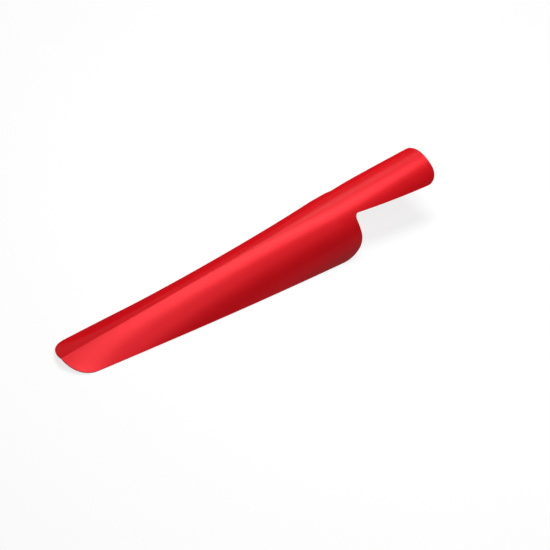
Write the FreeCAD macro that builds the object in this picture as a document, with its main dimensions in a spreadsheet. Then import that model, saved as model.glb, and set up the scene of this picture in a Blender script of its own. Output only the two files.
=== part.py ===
import FreeCAD, Part
import math
import os
import Sketcher

# Clip-on rear mudguard: one piece of polypropylene sheet, die-cut, creased along its middle and sprung
# into an arch whose neck is held between a pair of rails.
# Frame: origin midway between the rails where they cross the neck, +X forward, +Y left, +Z up.

# Driving dimensions, in millimetres and degrees
SIZES = {
    "sheet_thickness": 0.8,
    # the blade, from its free tail end to the shoulders
    "blade_length": 250.0,
    "tail_width": 43.2,
    "shoulder_width": 59.6,
    "shoulder_height": 35.6,
    # the crease along the middle, sharp at the tail and melting into the arch at the shoulders
    # fold_angle is the slope of each flank there, and tail_curl how much steeper it is at the tail's sides
    "fold_angle": 14.5,
    "fold_inner_radius": 0.7,
    "tail_curl": 2.4,
    # the outline of the tail end: how far it bows out across the tail's width, and its corners
    "tail_bow": 9.6,
    "tail_corner_radius": 18.0,
    # the pair of rails that the neck sits between
    "rail_diameter": 7.0,
    "rail_spacing": 44.0,
    "rail_clearance": 0.25,
    # the neck, from the shoulders to the rails, and the tongue in front of the rails
    "neck_length": 18.0,
    "shoulder_radius": 20.0,
    "front_length": 75.0,
    "front_width": 52.0,
    "ear_radius": 10.0,
}

# How many stretches the blade is drawn in, with a section at the end of each
BLADE_STRETCHES = 10
# The power of the way along the blade by which the crease's radius grows, and the share of the arch's
# radius that it reaches at the shoulders
FOLD_GROWTH = 4
FOLD_END_SHARE = 0.9
# How many stretches the sheet is drawn in from the shoulders to the front end
FRONT_STRETCHES = 4
# The depth of the untrimmed section at the front end, in radii of its arch
FRONT_DEPTH = 1.2
# How far the untrimmed sheet reaches past the finished tail end, and the trimming outlines past the sheet
BLANK_MARGIN = 1.0
TRIM_MARGIN = 4.0
# The angle at which a trimming outline crosses the edge that it runs out of, in degrees
TRIM_ANGLE = 4.0

# How a sketch numbers the points of an edge, and its own two axes
START, END, CENTRE = range(1, 4)
X_AXIS, Y_AXIS = range(-1, -3, -1)
UP = FreeCAD.Vector(0, 0, 1)

doc = FreeCAD.newDocument("mudguard")
sheet = doc.addObject("Spreadsheet::Sheet", "sizes")
for row, (name, value) in enumerate(SIZES.items(), start=1):
    sheet.set(f"A{row}", name)
    sheet.set(f"B{row}", str(value))
    sheet.setAlias(f"B{row}", name)
doc.recompute()

# Worked-out sizes, each bound to the sheet
layout = doc.addObject("App::VarSet", "layout")


def work_out(name, formula):
    """Add a size that follows the sheet, and give its value."""
    layout.addProperty("App::PropertyFloat", name, "worked_out")
    layout.setExpression(name, formula)
    layout.recompute()
    return getattr(layout, name)


work_out("fold_radius", "sizes.fold_inner_radius + sizes.sheet_thickness")
work_out(
    "tail_height",
    "layout.fold_radius * (1 - cos(sizes.fold_angle * 1 deg))"
    " + (sizes.tail_width / 2 - layout.fold_radius * sin(sizes.fold_angle * 1 deg))"
    " * tan((sizes.fold_angle + sizes.tail_curl / 2) * 1 deg)",
)
work_out("ridge_rise", "(sizes.shoulder_height - layout.tail_height) / sizes.blade_length")
work_out(
    "arch_radius",
    "(sizes.shoulder_width^2 / 4 + sizes.shoulder_height^2) / (2 * sizes.shoulder_height)",
)
work_out("neck_half_width", "(sizes.rail_spacing - sizes.rail_diameter) / 2 - sizes.rail_clearance")
notch_radius = work_out("notch_radius", "sizes.rail_diameter / 2 + sizes.rail_clearance")
tail_place = work_out("tail_place", "-sizes.neck_length - sizes.blade_length")
# the rails' height over the blade's lower edges: there the arch is as wide as the gap between the rails
work_out(
    "rail_height",
    "sizes.shoulder_height + sizes.neck_length * layout.ridge_rise - layout.arch_radius"
    " + sqrt(layout.arch_radius^2 - layout.neck_half_width^2)",
)

body = doc.addObject("PartDesign::Body", "guard_sheet")
body.Label = "guard_sheet"
planes = {feature.Role: feature for feature in body.Origin.OriginFeatures}


def new_sketch(name, plane):
    sketch = body.newObject("Sketcher::SketchObject", name)
    sketch.AttachmentSupport = [(planes[plane], "")]
    sketch.MapMode = "FlatFace"
    return sketch


def arc(centre, radius, start, end):
    """A counter-clockwise arc between two angles in degrees."""
    circle = Part.Circle(FreeCAD.Vector(*centre, 0), UP, radius)
    return Part.ArcOfCircle(circle, math.radians(start), math.radians(end))


def line(start, end):
    return Part.LineSegment(FreeCAD.Vector(*start, 0), FreeCAD.Vector(*end, 0))


def polar(centre, radius, angle):
    turn = math.radians(angle)
    return (centre[0] + radius * math.cos(turn), centre[1] + radius * math.sin(turn))


def bind(sketch, kind, *where, to):
    """Add a dimension to a sketch and bind it to a worked-out size or one of the sheet's."""
    source, name = to.split(".")
    value = getattr(layout if source == "layout" else sheet, name)
    number = sketch.addConstraint(Sketcher.Constraint(kind, *where, value))
    sketch.setExpression(f"Constraints[{number}]", to)


def tie(sketch, kind, *where):
    sketch.addConstraint(Sketcher.Constraint(kind, *where))


# Sections of the untrimmed sheet: a small arc at the crease, met tangentially by the arc of each flank
def draw_section(name, place, half_width, ridge, edge, fold_radius):
    """Draw one section. Each size is a formula, and the lower edge is measured like the ridge."""
    x_place = work_out(f"{name}_place", place)
    width = work_out(f"{name}_half_width", half_width)
    work_out(f"{name}_ridge", ridge)
    edge_height = work_out(f"{name}_edge", edge)
    radius = work_out(f"{name}_fold_radius", fold_radius)
    joint = work_out(f"{name}_joint", f"layout.{name}_fold_radius * sin(sizes.fold_angle * 1 deg)")
    centre_height = work_out(f"{name}_fold_centre", f"layout.{name}_ridge - layout.{name}_fold_radius")

    # the flank's arc: tangent to the crease's arc at the joint, and through the lower edge
    fold = sheet.fold_angle
    wall = sheet.sheet_thickness
    joint_height = centre_height + radius * math.cos(math.radians(fold))
    drop, reach = joint_height - edge_height, width - joint
    half_turn = math.degrees(math.atan2(drop, reach)) - fold
    flank_radius = math.hypot(drop, reach) / (2 * math.sin(math.radians(half_turn)))
    flank_end = fold + 2 * half_turn
    right = polar((joint, joint_height), flank_radius, -90 - fold)
    left = (-right[0], right[1])
    middle = (0, centre_height)
    inner = flank_radius - wall

    sketch = new_sketch(name, "YZ_Plane")
    sketch.AttachmentOffset.Base.z = x_place
    sketch.setExpression("AttachmentOffset.Base.z", f"layout.{name}_place")
    geometry = [
        arc(middle, radius, 90 - fold, 90 + fold),
        arc(right, flank_radius, 90 - flank_end, 90 - fold),
        arc(left, flank_radius, 90 + fold, 90 + flank_end),
        line(polar(right, flank_radius, 90 - flank_end), polar(right, inner, 90 - flank_end)),
        line(polar(left, flank_radius, 90 + flank_end), polar(left, inner, 90 + flank_end)),
        arc(right, inner, 90 - flank_end, 90 - fold),
        arc(left, inner, 90 + fold, 90 + flank_end),
        arc(middle, radius - wall, 90 - fold, 90 + fold),
    ]
    crease_out, right_out, left_out, right_cut, left_cut, right_in, left_in, crease_in = (
        sketch.addGeometry(geometry)
    )
    tie(sketch, "PointOnObject", crease_out, CENTRE, Y_AXIS)
    tie(sketch, "Tangent", right_out, END, crease_out, START)
    tie(sketch, "Tangent", crease_out, END, left_out, START)
    tie(sketch, "Coincident", right_in, CENTRE, right_out, CENTRE)
    tie(sketch, "Coincident", left_in, CENTRE, left_out, CENTRE)
    tie(sketch, "Coincident", crease_in, CENTRE, crease_out, CENTRE)
    tie(sketch, "Tangent", right_in, END, crease_in, START)
    tie(sketch, "Tangent", crease_in, END, left_in, START)
    tie(sketch, "Coincident", right_cut, START, right_out, START)
    tie(sketch, "Coincident", right_cut, END, right_in, START)
    tie(sketch, "Coincident", left_cut, START, left_out, END)
    tie(sketch, "Coincident", left_cut, END, left_in, END)
    tie(sketch, "PointOnObject", right_out, CENTRE, right_cut)
    tie(sketch, "PointOnObject", left_out, CENTRE, left_cut)
    tie(sketch, "Horizontal", crease_out, START, crease_out, END)
    tie(sketch, "Symmetric", right_out, START, left_out, END, Y_AXIS)
    bind(sketch, "Radius", crease_out, to=f"layout.{name}_fold_radius")
    bind(sketch, "DistanceY", X_AXIS, START, crease_out, CENTRE, to=f"layout.{name}_fold_centre")
    bind(sketch, "DistanceX", X_AXIS, START, crease_out, START, to=f"layout.{name}_joint")
    bind(sketch, "DistanceX", X_AXIS, START, right_out, START, to=f"layout.{name}_half_width")
    bind(sketch, "DistanceY", X_AXIS, START, right_out, START, to=f"layout.{name}_edge")
    bind(sketch, "Distance", right_cut, to="sizes.sheet_thickness")
    return sketch


sections = []
for number in range(BLADE_STRETCHES + 1):
    # the first section lies a little behind the finished tail end
    share = number / BLADE_STRETCHES if number else -BLANK_MARGIN / sheet.blade_length
    widened = 1 - (1 - share) ** 2
    opened = share ** FOLD_GROWTH
    sections.append(draw_section(
        f"blade_{number}",
        place=f"layout.tail_place + {share} * sizes.blade_length",
        half_width=f"(sizes.tail_width + {widened} * (sizes.shoulder_width - sizes.tail_width)) / 2",
        ridge=f"layout.tail_height + {share} * (sizes.shoulder_height - layout.tail_height)",
        edge="0",
        fold_radius=f"layout.fold_radius"
                    f" + {opened} * ({FOLD_END_SHARE} * layout.arch_radius - layout.fold_radius)",
    ))

# In front of the shoulders the arch narrows slowly, and its untrimmed lower edge rises
work_out("front_stretch", "sizes.neck_length + sizes.front_length")
work_out("front_ridge", "sizes.shoulder_height + layout.front_stretch * layout.ridge_rise")
work_out("front_edge", f"layout.front_ridge - {FRONT_DEPTH} * sizes.front_width / 2")
for number in range(1, FRONT_STRETCHES + 1):
    name = f"front_{number}"
    share = number / FRONT_STRETCHES
    changed = share ** 2
    work_out(
        f"{name}_radius",
        f"layout.arch_radius + {changed} * (sizes.front_width / 2 - layout.arch_radius)",
    )
    work_out(
        f"{name}_depth",
        f"sizes.shoulder_height + {share} * layout.front_stretch * layout.ridge_rise"
        f" - {changed} * layout.front_edge",
    )
    sections.append(draw_section(
        name,
        place=f"{share} * layout.front_stretch - sizes.neck_length",
        half_width=f"sqrt(layout.{name}_depth * (2 * layout.{name}_radius - layout.{name}_depth))",
        ridge=f"layout.{name}_depth + {changed} * layout.front_edge",
        edge=f"{changed} * layout.front_edge",
        fold_radius=f"{FOLD_END_SHARE} * layout.{name}_radius",
    ))
doc.recompute()

arch = body.newObject("PartDesign::AdditiveLoft", "arch")
arch.Profile = sections[0]
arch.Sections = sections[1:]
doc.recompute()


def cut_through(name, sketch):
    """Cut a closed outline right through the sheet, both ways, and see that it takes something away."""
    before = body.Shape.Volume
    cut = body.newObject("PartDesign::Pocket", name)
    cut.Profile = sketch
    cut.Type = "ThroughAll"
    cut.SideType = "Symmetric"
    doc.recompute()
    if not cut.Shape.Volume < before:
        raise RuntimeError(f"{name} cuts nothing")
    return cut


# Tail end, seen from above: a wide arc across the end, rounded into the side. One half is cut and mirrored
end_radius = work_out(
    "tail_end_radius",
    "(sizes.tail_width^2 / 4 + sizes.tail_bow^2) / (2 * sizes.tail_bow)",
)
corner_radius = sheet.tail_corner_radius
outside = work_out("outside", f"sizes.shoulder_width / 2 + {TRIM_MARGIN}")
behind = work_out("behind", f"layout.tail_place - {2 * TRIM_MARGIN}")
# where the corner runs out into the side, and the slope at which its outline leaves the sheet there
run_out = work_out("run_out", "layout.tail_place + sizes.tail_corner_radius")
work_out("run_out_share", "sizes.tail_corner_radius / sizes.blade_length")
run_out_width = work_out(
    "run_out_width",
    "(sizes.tail_width + layout.run_out_share * (2 - layout.run_out_share)"
    " * (sizes.shoulder_width - sizes.tail_width)) / 2",
)
run_out_slope = work_out(
    "run_out_slope",
    "(1 - layout.run_out_share) * (sizes.shoulder_width - sizes.tail_width) / sizes.blade_length"
    f" + tan({TRIM_ANGLE} * 1 deg)",
)
run_out_rise = work_out("run_out_rise", f"layout.run_out_slope * {TRIM_MARGIN}")
run_out_stop = work_out("run_out_stop", f"layout.run_out + {TRIM_MARGIN}")

# the corner's centre: one corner radius inside the run-out line, and tangent to the arc across the end
side_angle = math.degrees(math.atan(run_out_slope))
end_centre = (tail_place + end_radius, 0)
foot = polar((run_out, run_out_width), corner_radius, side_angle - 90)
along = (math.cos(math.radians(side_angle)), math.sin(math.radians(side_angle)))
offset = (foot[0] - end_centre[0], foot[1] - end_centre[1])
projected = offset[0] * along[0] + offset[1] * along[1]
inside = (end_radius - corner_radius) ** 2 - (offset[0] ** 2 + offset[1] ** 2) + projected ** 2
step = -projected - math.sqrt(inside)
corner_centre = (foot[0] + step * along[0], foot[1] + step * along[1])
meet_angle = math.degrees(math.atan2(corner_centre[1], corner_centre[0] - end_centre[0]))

tail_outline = new_sketch("tail_outline", "XY_Plane")
stop = (run_out_stop, run_out_width + run_out_rise)
end_arc, corner_arc, leave, out, back, down, close, side_point = tail_outline.addGeometry([
    arc(end_centre, end_radius, meet_angle, 180),
    arc(corner_centre, corner_radius, 90 + side_angle, meet_angle),
    line(polar(corner_centre, corner_radius, 90 + side_angle), stop),
    line(stop, (run_out_stop, outside)),
    line((run_out_stop, outside), (behind, outside)),
    line((behind, outside), (behind, 0)),
    line((behind, 0), (tail_place, 0)),
    Part.Point(FreeCAD.Vector(run_out, run_out_width, 0)),
])
tail_outline.setConstruction(side_point, True)
tie(tail_outline, "PointOnObject", end_arc, CENTRE, X_AXIS)
tie(tail_outline, "Tangent", corner_arc, END, end_arc, START)
tie(tail_outline, "Tangent", leave, START, corner_arc, START)
tie(tail_outline, "PointOnObject", side_point, START, leave)
tie(tail_outline, "Coincident", leave, END, out, START)
tie(tail_outline, "Coincident", out, END, back, START)
tie(tail_outline, "Coincident", back, END, down, START)
tie(tail_outline, "Coincident", down, END, close, START)
tie(tail_outline, "Coincident", close, END, end_arc, END)
tie(tail_outline, "Vertical", out)
tie(tail_outline, "Horizontal", back)
tie(tail_outline, "Vertical", down)
tie(tail_outline, "PointOnObject", close, START, X_AXIS)
tie(tail_outline, "PointOnObject", close, END, X_AXIS)
bind(tail_outline, "Radius", end_arc, to="layout.tail_end_radius")
bind(tail_outline, "Radius", corner_arc, to="sizes.tail_corner_radius")
bind(tail_outline, "DistanceX", X_AXIS, START, end_arc, END, to="layout.tail_place")
bind(tail_outline, "DistanceX", X_AXIS, START, side_point, START, to="layout.run_out")
bind(tail_outline, "DistanceY", X_AXIS, START, side_point, START, to="layout.run_out_width")
bind(tail_outline, "DistanceX", X_AXIS, START, leave, END, to="layout.run_out_stop")
bind(tail_outline, "DistanceY", side_point, START, leave, END, to="layout.run_out_rise")
bind(tail_outline, "DistanceY", X_AXIS, START, out, END, to="layout.outside")
bind(tail_outline, "DistanceX", X_AXIS, START, back, END, to="layout.behind")
tail_cut = cut_through("tail_cut", tail_outline)

half_cut = body.Shape.Volume
tail_end = body.newObject("PartDesign::Mirrored", "tail_end")
tail_end.Originals = [tail_cut]
tail_end.MirrorPlane = (planes["XZ_Plane"], [""])
body.Tip = tail_end
doc.recompute()
if not body.Shape.Volume < half_cut:
    raise RuntimeError("the tail end is cut on one side only")

# Front, seen from the side: rounded shoulders, the notches that the rails lie in, and the ears' corners
front_place = sheet.front_length
shoulder_radius = sheet.shoulder_radius
ear_radius = sheet.ear_radius
crossing = math.radians(TRIM_ANGLE)
shoulder_rise = work_out("shoulder_rise", f"sizes.shoulder_radius * cos({TRIM_ANGLE} * 1 deg)")
ear_place = work_out("ear_place", f"sizes.front_length - sizes.ear_radius * cos({TRIM_ANGLE} * 1 deg)")
tongue_edge = work_out("tongue_edge", "layout.rail_height + sizes.rail_clearance")
ahead = work_out("ahead", f"sizes.front_length + {TRIM_MARGIN}")

shoulder_centre = (-notch_radius - shoulder_radius, shoulder_rise)
notch_centre = (0, tongue_edge - notch_radius)
ear_centre = (ear_place, tongue_edge + ear_radius)
shoulder_start = polar(shoulder_centre, shoulder_radius, TRIM_ANGLE - 90)
ear_end = polar(ear_centre, ear_radius, -TRIM_ANGLE)
low_stop = (shoulder_start[0] - TRIM_MARGIN, -TRIM_MARGIN * math.tan(crossing))
end_stop = (front_place + TRIM_MARGIN * math.tan(crossing), ear_end[1] + TRIM_MARGIN)

front_outline = new_sketch("front_outline", "XZ_Plane")
outline = [
    line(low_stop, shoulder_start),
    arc(shoulder_centre, shoulder_radius, TRIM_ANGLE - 90, 0),
    line((-notch_radius, shoulder_rise), (-notch_radius, notch_centre[1])),
    arc(notch_centre, notch_radius, 90, 180),
    line((0, tongue_edge), (ear_place, tongue_edge)),
    arc(ear_centre, ear_radius, -90, -TRIM_ANGLE),
    line(ear_end, end_stop),
    line(end_stop, (ahead, end_stop[1])),
    line((ahead, end_stop[1]), (ahead, -TRIM_MARGIN)),
    line((ahead, -TRIM_MARGIN), (low_stop[0], -TRIM_MARGIN)),
    line((low_stop[0], -TRIM_MARGIN), low_stop),
]
leave_low, shoulder, rise, notch, run, ear, leave_end, across, down, under, up = (
    front_outline.addGeometry(outline)
)
tie(front_outline, "Tangent", leave_low, END, shoulder, START)
tie(front_outline, "Tangent", shoulder, END, rise, START)
tie(front_outline, "Tangent", rise, END, notch, END)
tie(front_outline, "Tangent", notch, START, run, START)
tie(front_outline, "Tangent", run, END, ear, START)
tie(front_outline, "Tangent", ear, END, leave_end, START)
tie(front_outline, "Coincident", leave_end, END, across, START)
tie(front_outline, "Coincident", across, END, down, START)
tie(front_outline, "Coincident", down, END, under, START)
tie(front_outline, "Coincident", under, END, up, START)
tie(front_outline, "Coincident", up, END, leave_low, START)
tie(front_outline, "Vertical", rise)
tie(front_outline, "Horizontal", run)
tie(front_outline, "Horizontal", across)
tie(front_outline, "Vertical", down)
tie(front_outline, "Horizontal", under)
tie(front_outline, "Vertical", up)
tie(front_outline, "PointOnObject", shoulder, START, X_AXIS)
tie(front_outline, "DistanceX", leave_low, START, leave_low, END, TRIM_MARGIN)
tie(front_outline, "DistanceY", leave_end, START, leave_end, END, TRIM_MARGIN)
tie(front_outline, "DistanceY", under, START, X_AXIS, START, TRIM_MARGIN)
bind(front_outline, "Radius", shoulder, to="sizes.shoulder_radius")
bind(front_outline, "DistanceY", X_AXIS, START, shoulder, CENTRE, to="layout.shoulder_rise")
bind(front_outline, "DistanceX", rise, START, X_AXIS, START, to="layout.notch_radius")
bind(front_outline, "Radius", notch, to="layout.notch_radius")
bind(front_outline, "DistanceY", X_AXIS, START, run, START, to="layout.tongue_edge")
bind(front_outline, "Radius", ear, to="sizes.ear_radius")
bind(front_outline, "DistanceX", X_AXIS, START, ear, CENTRE, to="layout.ear_place")
bind(front_outline, "DistanceX", X_AXIS, START, ear, END, to="sizes.front_length")
bind(front_outline, "DistanceX", X_AXIS, START, across, END, to="layout.ahead")
cut_through("front_cut", front_outline)

# The origin goes up to the rails
body.setExpression("Placement.Base.z", "-layout.rail_height")
doc.recompute()

failed = [thing.Name for thing in doc.Objects if {"Invalid", "Error"} & set(thing.State)]
if failed:
    raise RuntimeError(f"not built: {failed}")
if body.Shape.isNull() or not body.Shape.isValid() or len(body.Shape.Solids) != 1:
    raise RuntimeError("guard_sheet is not one valid solid")

os.makedirs("parts", exist_ok=True)
body.Shape.exportStep(f"parts/{body.Label}.step")
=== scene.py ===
import math

import bmesh
import bpy
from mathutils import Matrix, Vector


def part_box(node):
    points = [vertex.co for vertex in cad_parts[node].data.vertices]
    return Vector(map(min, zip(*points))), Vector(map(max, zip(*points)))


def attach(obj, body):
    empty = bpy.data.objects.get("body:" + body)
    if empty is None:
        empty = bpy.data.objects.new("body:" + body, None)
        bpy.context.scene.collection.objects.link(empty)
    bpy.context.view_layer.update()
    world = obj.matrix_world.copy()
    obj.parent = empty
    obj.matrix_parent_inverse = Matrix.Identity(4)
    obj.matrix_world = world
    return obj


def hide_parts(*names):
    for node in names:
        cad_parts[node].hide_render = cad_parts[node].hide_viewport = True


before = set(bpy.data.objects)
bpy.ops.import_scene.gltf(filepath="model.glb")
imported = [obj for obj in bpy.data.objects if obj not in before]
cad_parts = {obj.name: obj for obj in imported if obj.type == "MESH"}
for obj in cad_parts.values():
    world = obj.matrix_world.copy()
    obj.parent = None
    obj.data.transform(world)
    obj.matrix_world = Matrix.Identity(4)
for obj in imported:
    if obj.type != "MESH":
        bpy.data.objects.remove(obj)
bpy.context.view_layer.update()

# The guard: one thin sheet of polypropylene, dyed red right through. It is die-cut flat, creased along
# its middle and sprung into an arch, so the crease is sharp at the tail and melts away by the shoulders.
# Nothing is fastened to it: the notches in its own edges hold it between two rails.
low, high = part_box("guard_sheet")
tail_x, front_x = low.x, high.x
shoulder_x = -0.018
blade_length = shoulder_x - tail_x
sheet_thickness = 0.0008

tail_width, shoulder_width, front_width = 0.0432, 0.0596, 0.052
shoulder_height = 0.0356
crease_angle, tail_curl = math.radians(14.5), math.radians(2.4)
crease_radius = 0.0015
# the crease opens with a power of the way along the blade, up to a share of the arch's radius
crease_growth, crease_share = 4, 0.9
# the uncut arch at the front end is this many radii deep
front_depth = 1.2
tail_height = (
    crease_radius * (1 - math.cos(crease_angle))
    + (tail_width / 2 - crease_radius * math.sin(crease_angle)) * math.tan(crease_angle + tail_curl / 2)
)
ridge_rise = (shoulder_height - tail_height) / blade_length
arch_radius = (shoulder_width ** 2 / 4 + shoulder_height ** 2) / (2 * shoulder_height)
front_edge = shoulder_height + (front_x - shoulder_x) * ridge_rise - front_depth * front_width / 2

rail_radius, rail_gap, rail_clearance = 0.0035, 0.037, 0.00025
neck_half_width = rail_gap / 2 - rail_clearance
rail_height = (
    shoulder_height - shoulder_x * ridge_rise - arch_radius
    + math.sqrt(arch_radius ** 2 - neck_half_width ** 2)
)


def arch_at(x):
    """The arch at a place along the sheet: its ridge, the crease's radius and the arc of each flank."""
    if x <= shoulder_x:
        along = (x - tail_x) / blade_length
        half_width = (tail_width + (1 - (1 - along) ** 2) * (shoulder_width - tail_width)) / 2
        ridge = tail_height + along * (shoulder_height - tail_height)
        edge = 0
        radius = crease_radius + along ** crease_growth * (crease_share * arch_radius - crease_radius)
    else:
        change = ((x - shoulder_x) / (front_x - shoulder_x)) ** 2
        crown = arch_radius + change * (front_width / 2 - arch_radius)
        ridge = shoulder_height + (x - shoulder_x) * ridge_rise
        edge = change * front_edge
        half_width = math.sqrt((ridge - edge) * (2 * crown - ridge + edge))
        radius = crease_share * crown
    joint_y = radius * math.sin(crease_angle)
    joint_z = ridge - radius * (1 - math.cos(crease_angle))
    reach, drop = half_width - joint_y, joint_z - edge
    turn = 2 * (math.atan2(drop, reach) - crease_angle)
    flank = math.hypot(reach, drop) / (2 * math.sin(turn / 2))
    centre_y = joint_y - flank * math.sin(crease_angle)
    centre_z = joint_z - flank * math.cos(crease_angle)
    return ridge, radius, flank, centre_y, centre_z, turn


def sheet_point(x, across, depth=0.0):
    """A point of the sheet: across is 0 at the ridge, 1 where the crease ends and 2 at the lower edge."""
    ridge, radius, flank, centre_y, centre_z, turn = arch_at(x)
    if abs(across) <= 1:
        angle = abs(across) * crease_angle
        y = (radius - depth) * math.sin(angle)
        z = ridge - radius + (radius - depth) * math.cos(angle)
    else:
        angle = crease_angle + (abs(across) - 1) * turn
        y = centre_y + (flank - depth) * math.sin(angle)
        z = centre_z + (flank - depth) * math.cos(angle)
    return Vector((x, math.copysign(y, across), z - rail_height))


def across_at_height(x, z):
    """How far across the sheet a height over the blade's lower edges is met."""
    flank, centre_y, centre_z, turn = arch_at(x)[2:]
    return 1 + (math.acos((z - centre_z) / flank) - crease_angle) / turn


def across_at_width(x, y):
    """How far across the sheet a distance from its middle is met."""
    radius, flank, centre_y, centre_z, turn = arch_at(x)[1:]
    if y <= radius * math.sin(crease_angle):
        return math.asin(y / radius) / crease_angle
    return 1 + (math.asin((y - centre_y) / flank) - crease_angle) / turn


def on_round(centre, radius, angle):
    """The point of a round at an angle in degrees."""
    angle = math.radians(angle)
    return (centre[0] + radius * math.cos(angle), centre[1] + radius * math.sin(angle))


def bow(centre, radius, start, end, steps=24):
    """Points along a round, from one angle in degrees to another."""
    return [on_round(centre, radius, start + (end - start) * step / steps) for step in range(steps + 1)]


def between(place, other, share):
    """The place that lies a share of the way from one place to another."""
    return tuple(a + share * (b - a) for a, b in zip(place, other))


def run(start, end, count):
    """Evenly spaced places on a straight run from one place to another."""
    return [start, *(between(start, end, step / count) for step in range(1, count)), end]


def spread(places, count):
    """Space a line of places evenly along the sheet."""
    points = [sheet_point(*place) for place in places]
    travelled = [0.0]
    for before, after in zip(points, points[1:]):
        travelled.append(travelled[-1] + (after - before).length)
    spaced, leg = [places[0]], 0
    for step in range(1, count):
        goal = travelled[-1] * step / count
        while travelled[leg + 1] < goal:
            leg += 1
        share = (goal - travelled[leg]) / (travelled[leg + 1] - travelled[leg])
        spaced.append(between(places[leg], places[leg + 1], share))
    return spaced + [places[-1]]


# the tail's outline, seen from above: a wide bow across the end, rounded into the sides
tail_bow, tail_corner = 0.0096, 0.018
trim_angle = 4.0
end_radius = (tail_width ** 2 / 4 + tail_bow ** 2) / (2 * tail_bow)
end_x = tail_x + end_radius
side_x = tail_x + tail_corner
side_share = tail_corner / blade_length
side_y = (tail_width + side_share * (2 - side_share) * (shoulder_width - tail_width)) / 2
side_slope = (1 - side_share) * (shoulder_width - tail_width) / blade_length
side_angle = math.degrees(math.atan(side_slope + math.tan(math.radians(trim_angle))))
side_way = Vector((math.cos(math.radians(side_angle)), math.sin(math.radians(side_angle))))
foot = Vector((side_x + tail_corner * side_way.y - end_x, side_y - tail_corner * side_way.x))
to_foot = foot.dot(side_way)
step_back = -to_foot - math.sqrt((end_radius - tail_corner) ** 2 - foot.length_squared + to_foot ** 2)
corner = foot + step_back * side_way
meet_angle = math.degrees(math.atan2(corner.y, corner.x))
corner_middle = (meet_angle + 90 + side_angle) / 2
corner_centre = (end_x + corner.x, corner.y)


def tail_end(across):
    """Where the bow across the tail's end meets the sheet, this far across it."""
    x = tail_x
    for repeat in range(4):
        y = abs(sheet_point(x, across).y)
        x = end_x - math.sqrt(end_radius ** 2 - y ** 2)
    return (x, across)


# the front's outline, seen from the side: rounded shoulders, the rails' notches and the ears' corners
notch_radius, shoulder_corner, ear_corner = rail_radius + rail_clearance, 0.020, 0.010
tongue_edge = rail_height + rail_clearance
trim_cos = math.cos(math.radians(trim_angle))
shoulder_centre = (-notch_radius - shoulder_corner, shoulder_corner * trim_cos)
notch_centre = (0.0, tongue_edge - notch_radius)
ear_centre = (front_x - ear_corner * trim_cos, tongue_edge + ear_corner)


def side_view(points):
    """Places on the sheet for points given by their place along it and their height over its edges."""
    return [(x, across_at_height(x, z)) for x, z in points]


# each round is shared between two panels of the sheet, which meet in its middle
notch_split = (90 + 180) / 2
shoulder_split = (trim_angle - 90) / 2
ear_split = (-90 - trim_angle) / 2
notch_middle, = side_view([on_round(notch_centre, notch_radius, notch_split)])
blade_rows, tongue_rows = 190, 56
crease_columns, flank_columns, side_columns = 4, 12, 28

# lines along the sheet: the ridge, the end of the crease, the tongue's edge carried on, the lower edge
split_x = notch_middle[0]
tail_lines = [(tail_x, 0.0), tail_end(1.0), tail_end(notch_middle[1])]
split_line = [(split_x, 0.0), (split_x, 1.0), notch_middle]
blade_lines = [run(tail, split, blade_rows) for tail, split in zip(tail_lines, split_line)]
lower_edge = run((side_x, 2.0), (shoulder_centre[0], 2.0), blade_rows)[1:-1]
tail_round = [
    (x, across_at_width(x, y))
    for x, y in bow(corner_centre, tail_corner, corner_middle, 90 + side_angle)
]
shoulder_round = side_view(bow(shoulder_centre, shoulder_corner, trim_angle - 90, shoulder_split))
blade_lines.append(spread(tail_round + lower_edge + shoulder_round, blade_rows))
tongue_end = side_view(bow(ear_centre, ear_corner, -90, ear_split))
tongue_run = side_view(run((0.0, tongue_edge), (ear_centre[0], tongue_edge), tongue_rows)[1:-1])
notch_top = side_view(bow(notch_centre, notch_radius, notch_split, 90))
tongue_lines = [
    run((split_x, 0.0), (front_x, 0.0), tongue_rows),
    run((split_x, 1.0), (front_x, 1.0), tongue_rows),
    spread([notch_middle] + notch_top[1:] + tongue_run + tongue_end, tongue_rows),
]

# lines across it: the tail's end, the split at the notches, the shoulders' front edges, the front end
end_round = [
    (x, across_at_width(x, y))
    for x, y in bow(corner_centre, tail_corner, meet_angle, corner_middle)
]
end_bow = [tail_end(across) for _, across in run(tail_lines[2], end_round[0], side_columns)]
tail_across = [
    [tail_end(across) for _, across in run(tail_lines[0], tail_lines[1], crease_columns)],
    [tail_end(across) for _, across in run(tail_lines[1], tail_lines[2], flank_columns)],
    spread(end_bow[:-1] + end_round[:-1] + [blade_lines[3][0]], side_columns),
]
shoulder_front = side_view(
    bow(notch_centre, notch_radius, notch_split, 180)
    + bow(shoulder_centre, shoulder_corner, 0, shoulder_split)
)
split_across = [
    run(split_line[0], split_line[1], crease_columns),
    run(split_line[1], split_line[2], flank_columns),
    spread([notch_middle] + shoulder_front[1:-1] + [blade_lines[3][-1]], side_columns),
]
ear_front = side_view(bow(ear_centre, ear_corner, -trim_angle, ear_split))
front_across = [
    run((front_x, 0.0), (front_x, 1.0), crease_columns),
    spread([(front_x, 1.0)] + ear_front[:-1] + [tongue_lines[2][-1]], flank_columns),
]
for lines, end_lines, end in ((blade_lines, tail_across, 0), (tongue_lines, front_across, -1)):
    for line, next_line, end_line in zip(lines, lines[1:], end_lines):
        end_line[0], end_line[-1] = line[end], next_line[end]


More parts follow.
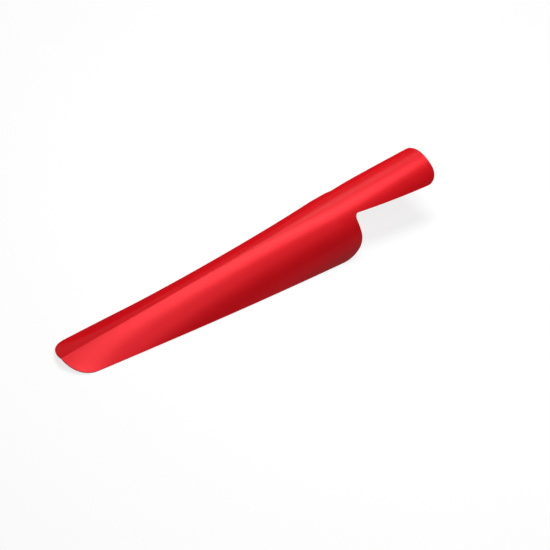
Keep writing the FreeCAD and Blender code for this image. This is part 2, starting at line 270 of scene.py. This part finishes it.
def fill(inner, outer, start, end):
    """Rows of places on a panel, from its four sides: two run along the sheet and two across it."""
    rows = []
    for number, (inner_place, outer_place) in enumerate(zip(inner, outer)):
        u = number / (len(inner) - 1)
        row = []
        for column, (start_place, end_place) in enumerate(zip(start, end)):
            v = column / (len(start) - 1)
            from_sides = between(inner_place, outer_place, v)
            from_ends = between(start_place, end_place, u)
            flat = between(between(start[0], start[-1], v), between(end[0], end[-1], v), u)
            row.append(tuple(a + b - c for a, b, c in zip(from_sides, from_ends, flat)))
        row[0], row[-1] = inner_place, outer_place
        rows.append(row)
    rows[0], rows[-1] = start, end
    return rows


panels = [
    fill(blade_lines[n], blade_lines[n + 1], tail_across[n], split_across[n]) for n in range(3)
] + [
    fill(tongue_lines[n], tongue_lines[n + 1], split_across[n], front_across[n]) for n in range(2)
]

mesh = bmesh.new()
outside, inside = {}, {}


def corner_of(place, faces, depth):
    """The mesh's point for a place on one face of the sheet."""
    if place not in faces:
        faces[place] = mesh.verts.new(sheet_point(*place, depth))
    return faces[place]


# the rim faces of the cut edge get a darker copy of the red: painted shade, since the sheet is the same
# red right through
SHEET, CUT_EDGE_PAINTED_SHADE = 0, 1
for side in (1, -1):
    for rows in panels:
        for row, next_row in zip(rows, rows[1:]):
            for a, b, c, d in zip(row, next_row, next_row[1:], row[1:]):
                places = [(x, side * across) for x, across in (a, b, c, d)[::side]]
                for faces, depth in ((outside, 0.0), (inside, sheet_thickness)):
                    corners = [corner_of(place, faces, depth) for place in places]
                    face = mesh.faces.new(corners if depth == 0 else corners[::-1])
                    face.smooth = True
                    face.material_index = SHEET
place_of = {vertex: place for place, vertex in outside.items()}
for edge in [edge for edge in mesh.edges if edge.is_boundary and edge.verts[0] in place_of]:
    loop = edge.link_loops[0]
    start, end = loop.vert, loop.link_loop_next.vert
    rim = mesh.faces.new((end, start, inside[place_of[start]], inside[place_of[end]]))
    rim.smooth = True
    rim.material_index = CUT_EDGE_PAINTED_SHADE
guard_data = bpy.data.meshes.new("guard")
mesh.to_mesh(guard_data)
mesh.free()
guard = bpy.data.objects.new("guard", guard_data)
bpy.context.scene.collection.objects.link(guard)

# the die leaves the edges a little rounded; the rounding takes the cut edge's painted shade
softened = guard.modifiers.new("die_rounding", "BEVEL")
softened.width = 0.00035
softened.segments = 3
softened.limit_method = "ANGLE"
softened.angle_limit = math.radians(50)
softened.harden_normals = True
softened.material = CUT_EDGE_PAINTED_SHADE


def satin_plastic(name, colour, pale_colour, roughness):
    """Satin polypropylene with drawn streaks, a fine pressed grain and faint clouds in its colour, which
    is the dye's own red or a darker painted shade.
    """
    material = bpy.data.materials.new(name)
    material.use_nodes = True
    nodes, links = material.node_tree.nodes, material.node_tree.links
    shader = nodes["Principled BSDF"]
    shader.inputs["Specular Tint"].default_value = (1, 0.062, 0.08, 1)
    shader.inputs["IOR"].default_value = 1.62
    where = nodes.new("ShaderNodeTexCoord")

    # the grain hides the gloss of the sheet where it is seen at a low angle
    slant = nodes.new("ShaderNodeLayerWeight")
    slant.inputs["Blend"].default_value = 0.5
    gloss = nodes.new("ShaderNodeMapRange")
    gloss.interpolation_type = "SMOOTHSTEP"
    gloss.inputs["From Min"].default_value = 0.055
    gloss.inputs["From Max"].default_value = 0.613
    gloss.inputs["To Min"].default_value = 1.0
    gloss.inputs["To Max"].default_value = 0.0
    links.new(slant.outputs["Facing"], gloss.inputs["Value"])
    links.new(gloss.outputs["Result"], shader.inputs["Specular IOR Level"])

    clouds = nodes.new("ShaderNodeTexNoise")
    clouds.inputs["Scale"].default_value = 45
    clouds.inputs["Detail"].default_value = 3
    links.new(where.outputs["Object"], clouds.inputs["Vector"])
    dye = nodes.new("ShaderNodeValToRGB")
    dye.color_ramp.elements[0].position = 0.3
    dye.color_ramp.elements[0].color = (*colour, 1)
    dye.color_ramp.elements[1].position = 0.7
    dye.color_ramp.elements[1].color = (*pale_colour, 1)
    links.new(clouds.outputs["Fac"], dye.inputs["Fac"])
    links.new(dye.outputs["Color"], shader.inputs["Base Color"])

    drawn = nodes.new("ShaderNodeMapping")
    drawn.inputs["Scale"].default_value = (12, 700, 700)
    links.new(where.outputs["Object"], drawn.inputs["Vector"])
    streaks = nodes.new("ShaderNodeTexNoise")
    streaks.inputs["Scale"].default_value = 1
    links.new(drawn.outputs["Vector"], streaks.inputs["Vector"])
    polish = nodes.new("ShaderNodeMapRange")
    polish.inputs["To Min"].default_value = roughness - 0.03
    polish.inputs["To Max"].default_value = roughness + 0.03
    links.new(streaks.outputs["Fac"], polish.inputs["Value"])
    links.new(polish.outputs["Result"], shader.inputs["Roughness"])

    grain = nodes.new("ShaderNodeTexNoise")
    grain.inputs["Scale"].default_value = 3200
    grain.inputs["Detail"].default_value = 1
    links.new(where.outputs["Object"], grain.inputs["Vector"])
    pressed = nodes.new("ShaderNodeBump")
    pressed.inputs["Strength"].default_value = 0.5
    pressed.inputs["Distance"].default_value = 0.00004
    links.new(grain.outputs["Fac"], pressed.inputs["Height"])
    links.new(pressed.outputs["Normal"], shader.inputs["Normal"])
    return material


red_face = satin_plastic("red_face", (0.68, 0.0067, 0.0120), (0.72, 0.0073, 0.0130), 0.36)
# the cut edge's darker, rougher red is painted shade on the thin rim, not a different dye
red_cut_painted_shade = satin_plastic("red_cut_painted_shade", (0.20, 0.006, 0.010), (0.26, 0.008, 0.012), 0.50)
guard.data.materials.append(red_face)
guard.data.materials.append(red_cut_painted_shade)
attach(guard, "root")
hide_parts("guard_sheet")

# The floor: a wide sheet of pale studio paper that the guard lies on, turned up along its far edges.
# It glows to the eye and in reflections, so that it reads as white without more light on the guard.
floor_size, edge_height = 12.0, 1.0
bpy.ops.mesh.primitive_plane_add(size=floor_size, location=(0, 0, low.z))
floor = bpy.context.object
floor.name = "floor"
paper_sheet = bmesh.new()
paper_sheet.from_mesh(floor.data)
turned_up = bmesh.ops.extrude_edge_only(paper_sheet, edges=paper_sheet.edges[:])["geom"]
far_edge = [part for part in turned_up if isinstance(part, bmesh.types.BMVert)]
bmesh.ops.translate(paper_sheet, verts=far_edge, vec=(0, 0, edge_height))
paper_sheet.to_mesh(floor.data)
paper_sheet.free()
paper = bpy.data.materials.new("pale_paper")
paper.use_nodes = True
paper_nodes, paper_links = paper.node_tree.nodes, paper.node_tree.links
paper_shader = paper_nodes["Principled BSDF"]
paper_shader.inputs["Base Color"].default_value = (0.22, 0.22, 0.22, 1)
paper_shader.inputs["Roughness"].default_value = 1
paper_shader.inputs["Specular IOR Level"].default_value = 0
paper_shader.inputs["Emission Color"].default_value = (1, 1, 1, 1)
ray = paper_nodes.new("ShaderNodeLightPath")
seen = paper_nodes.new("ShaderNodeMath")
seen.operation = "MAXIMUM"
paper_links.new(ray.outputs["Is Camera Ray"], seen.inputs[0])
paper_links.new(ray.outputs["Is Glossy Ray"], seen.inputs[1])
seen_at_all = paper_nodes.new("ShaderNodeMath")
seen_at_all.operation = "MAXIMUM"
paper_links.new(seen.outputs["Value"], seen_at_all.inputs[0])
paper_links.new(ray.outputs["Is Transmission Ray"], seen_at_all.inputs[1])
glow = paper_nodes.new("ShaderNodeMath")
glow.operation = "MULTIPLY"
glow.inputs[1].default_value = 0.8
paper_links.new(seen_at_all.outputs["Value"], glow.inputs[0])
paper_links.new(glow.outputs["Value"], paper_shader.inputs["Emission Strength"])
floor.data.materials.append(paper)

# The light: three round soft lamps in a dim room, one overhead and a weaker one on each side.
# Together they light the middle of the guard so that a colour shows about as it is written.
world = bpy.data.worlds.new("room")
bpy.context.scene.world = world
world.use_nodes = True
world.node_tree.nodes["Background"].inputs["Color"].default_value = (1, 1, 1, 1)
world.node_tree.nodes["Background"].inputs["Strength"].default_value = 0.02


def soft_lamp(name, place, width, power):
    """A round soft lamp, turned to the middle of the guard."""
    lamp = bpy.data.objects.new(name, bpy.data.lights.new(name, "AREA"))
    lamp.data.shape = "DISK"
    lamp.data.size = width
    lamp.data.energy = power
    lamp.location = place
    lamp.rotation_mode = "QUATERNION"
    lamp.rotation_quaternion = (lamp.location - (low + high) / 2).to_track_quat("Z", "Y")
    bpy.context.scene.collection.objects.link(lamp)


soft_lamp("lamp_overhead", place=(0.13, 0.08, 0.82), width=0.45, power=5.4)
soft_lamp("lamp_left", place=(0.27, 0.67, 0.78), width=0.40, power=1.95)
soft_lamp("lamp_right", place=(-0.12, -0.39, 0.60), width=0.35, power=1.52)

# The camera: a long lens, looking down on the guard from behind its tail and from its right.
# The sheet fills the middle of a square picture, at the scale that is given in pixels to the metre.
turn, tilt = math.radians(36.18), math.radians(39.5609)
aim = Vector((-0.08994, -0.02977, -0.01136))
distance = 2.5
image_pixels, pixels_per_metre = 550, 1299.1
back = Vector((-math.sin(turn) * math.cos(tilt), -math.cos(turn) * math.cos(tilt), math.sin(tilt)))
eye = bpy.data.cameras.new("eye")
eye.sensor_width = 36.0
eye.lens = eye.sensor_width * pixels_per_metre * distance / image_pixels
eye.clip_end = 100
camera = bpy.data.objects.new("eye", eye)
camera.location = aim + back * distance
camera.rotation_mode = "QUATERNION"
camera.rotation_quaternion = back.to_track_quat("Z", "Y")
bpy.context.scene.collection.objects.link(camera)
bpy.context.scene.camera = camera

bpy.context.scene.view_settings.view_transform = "Standard"
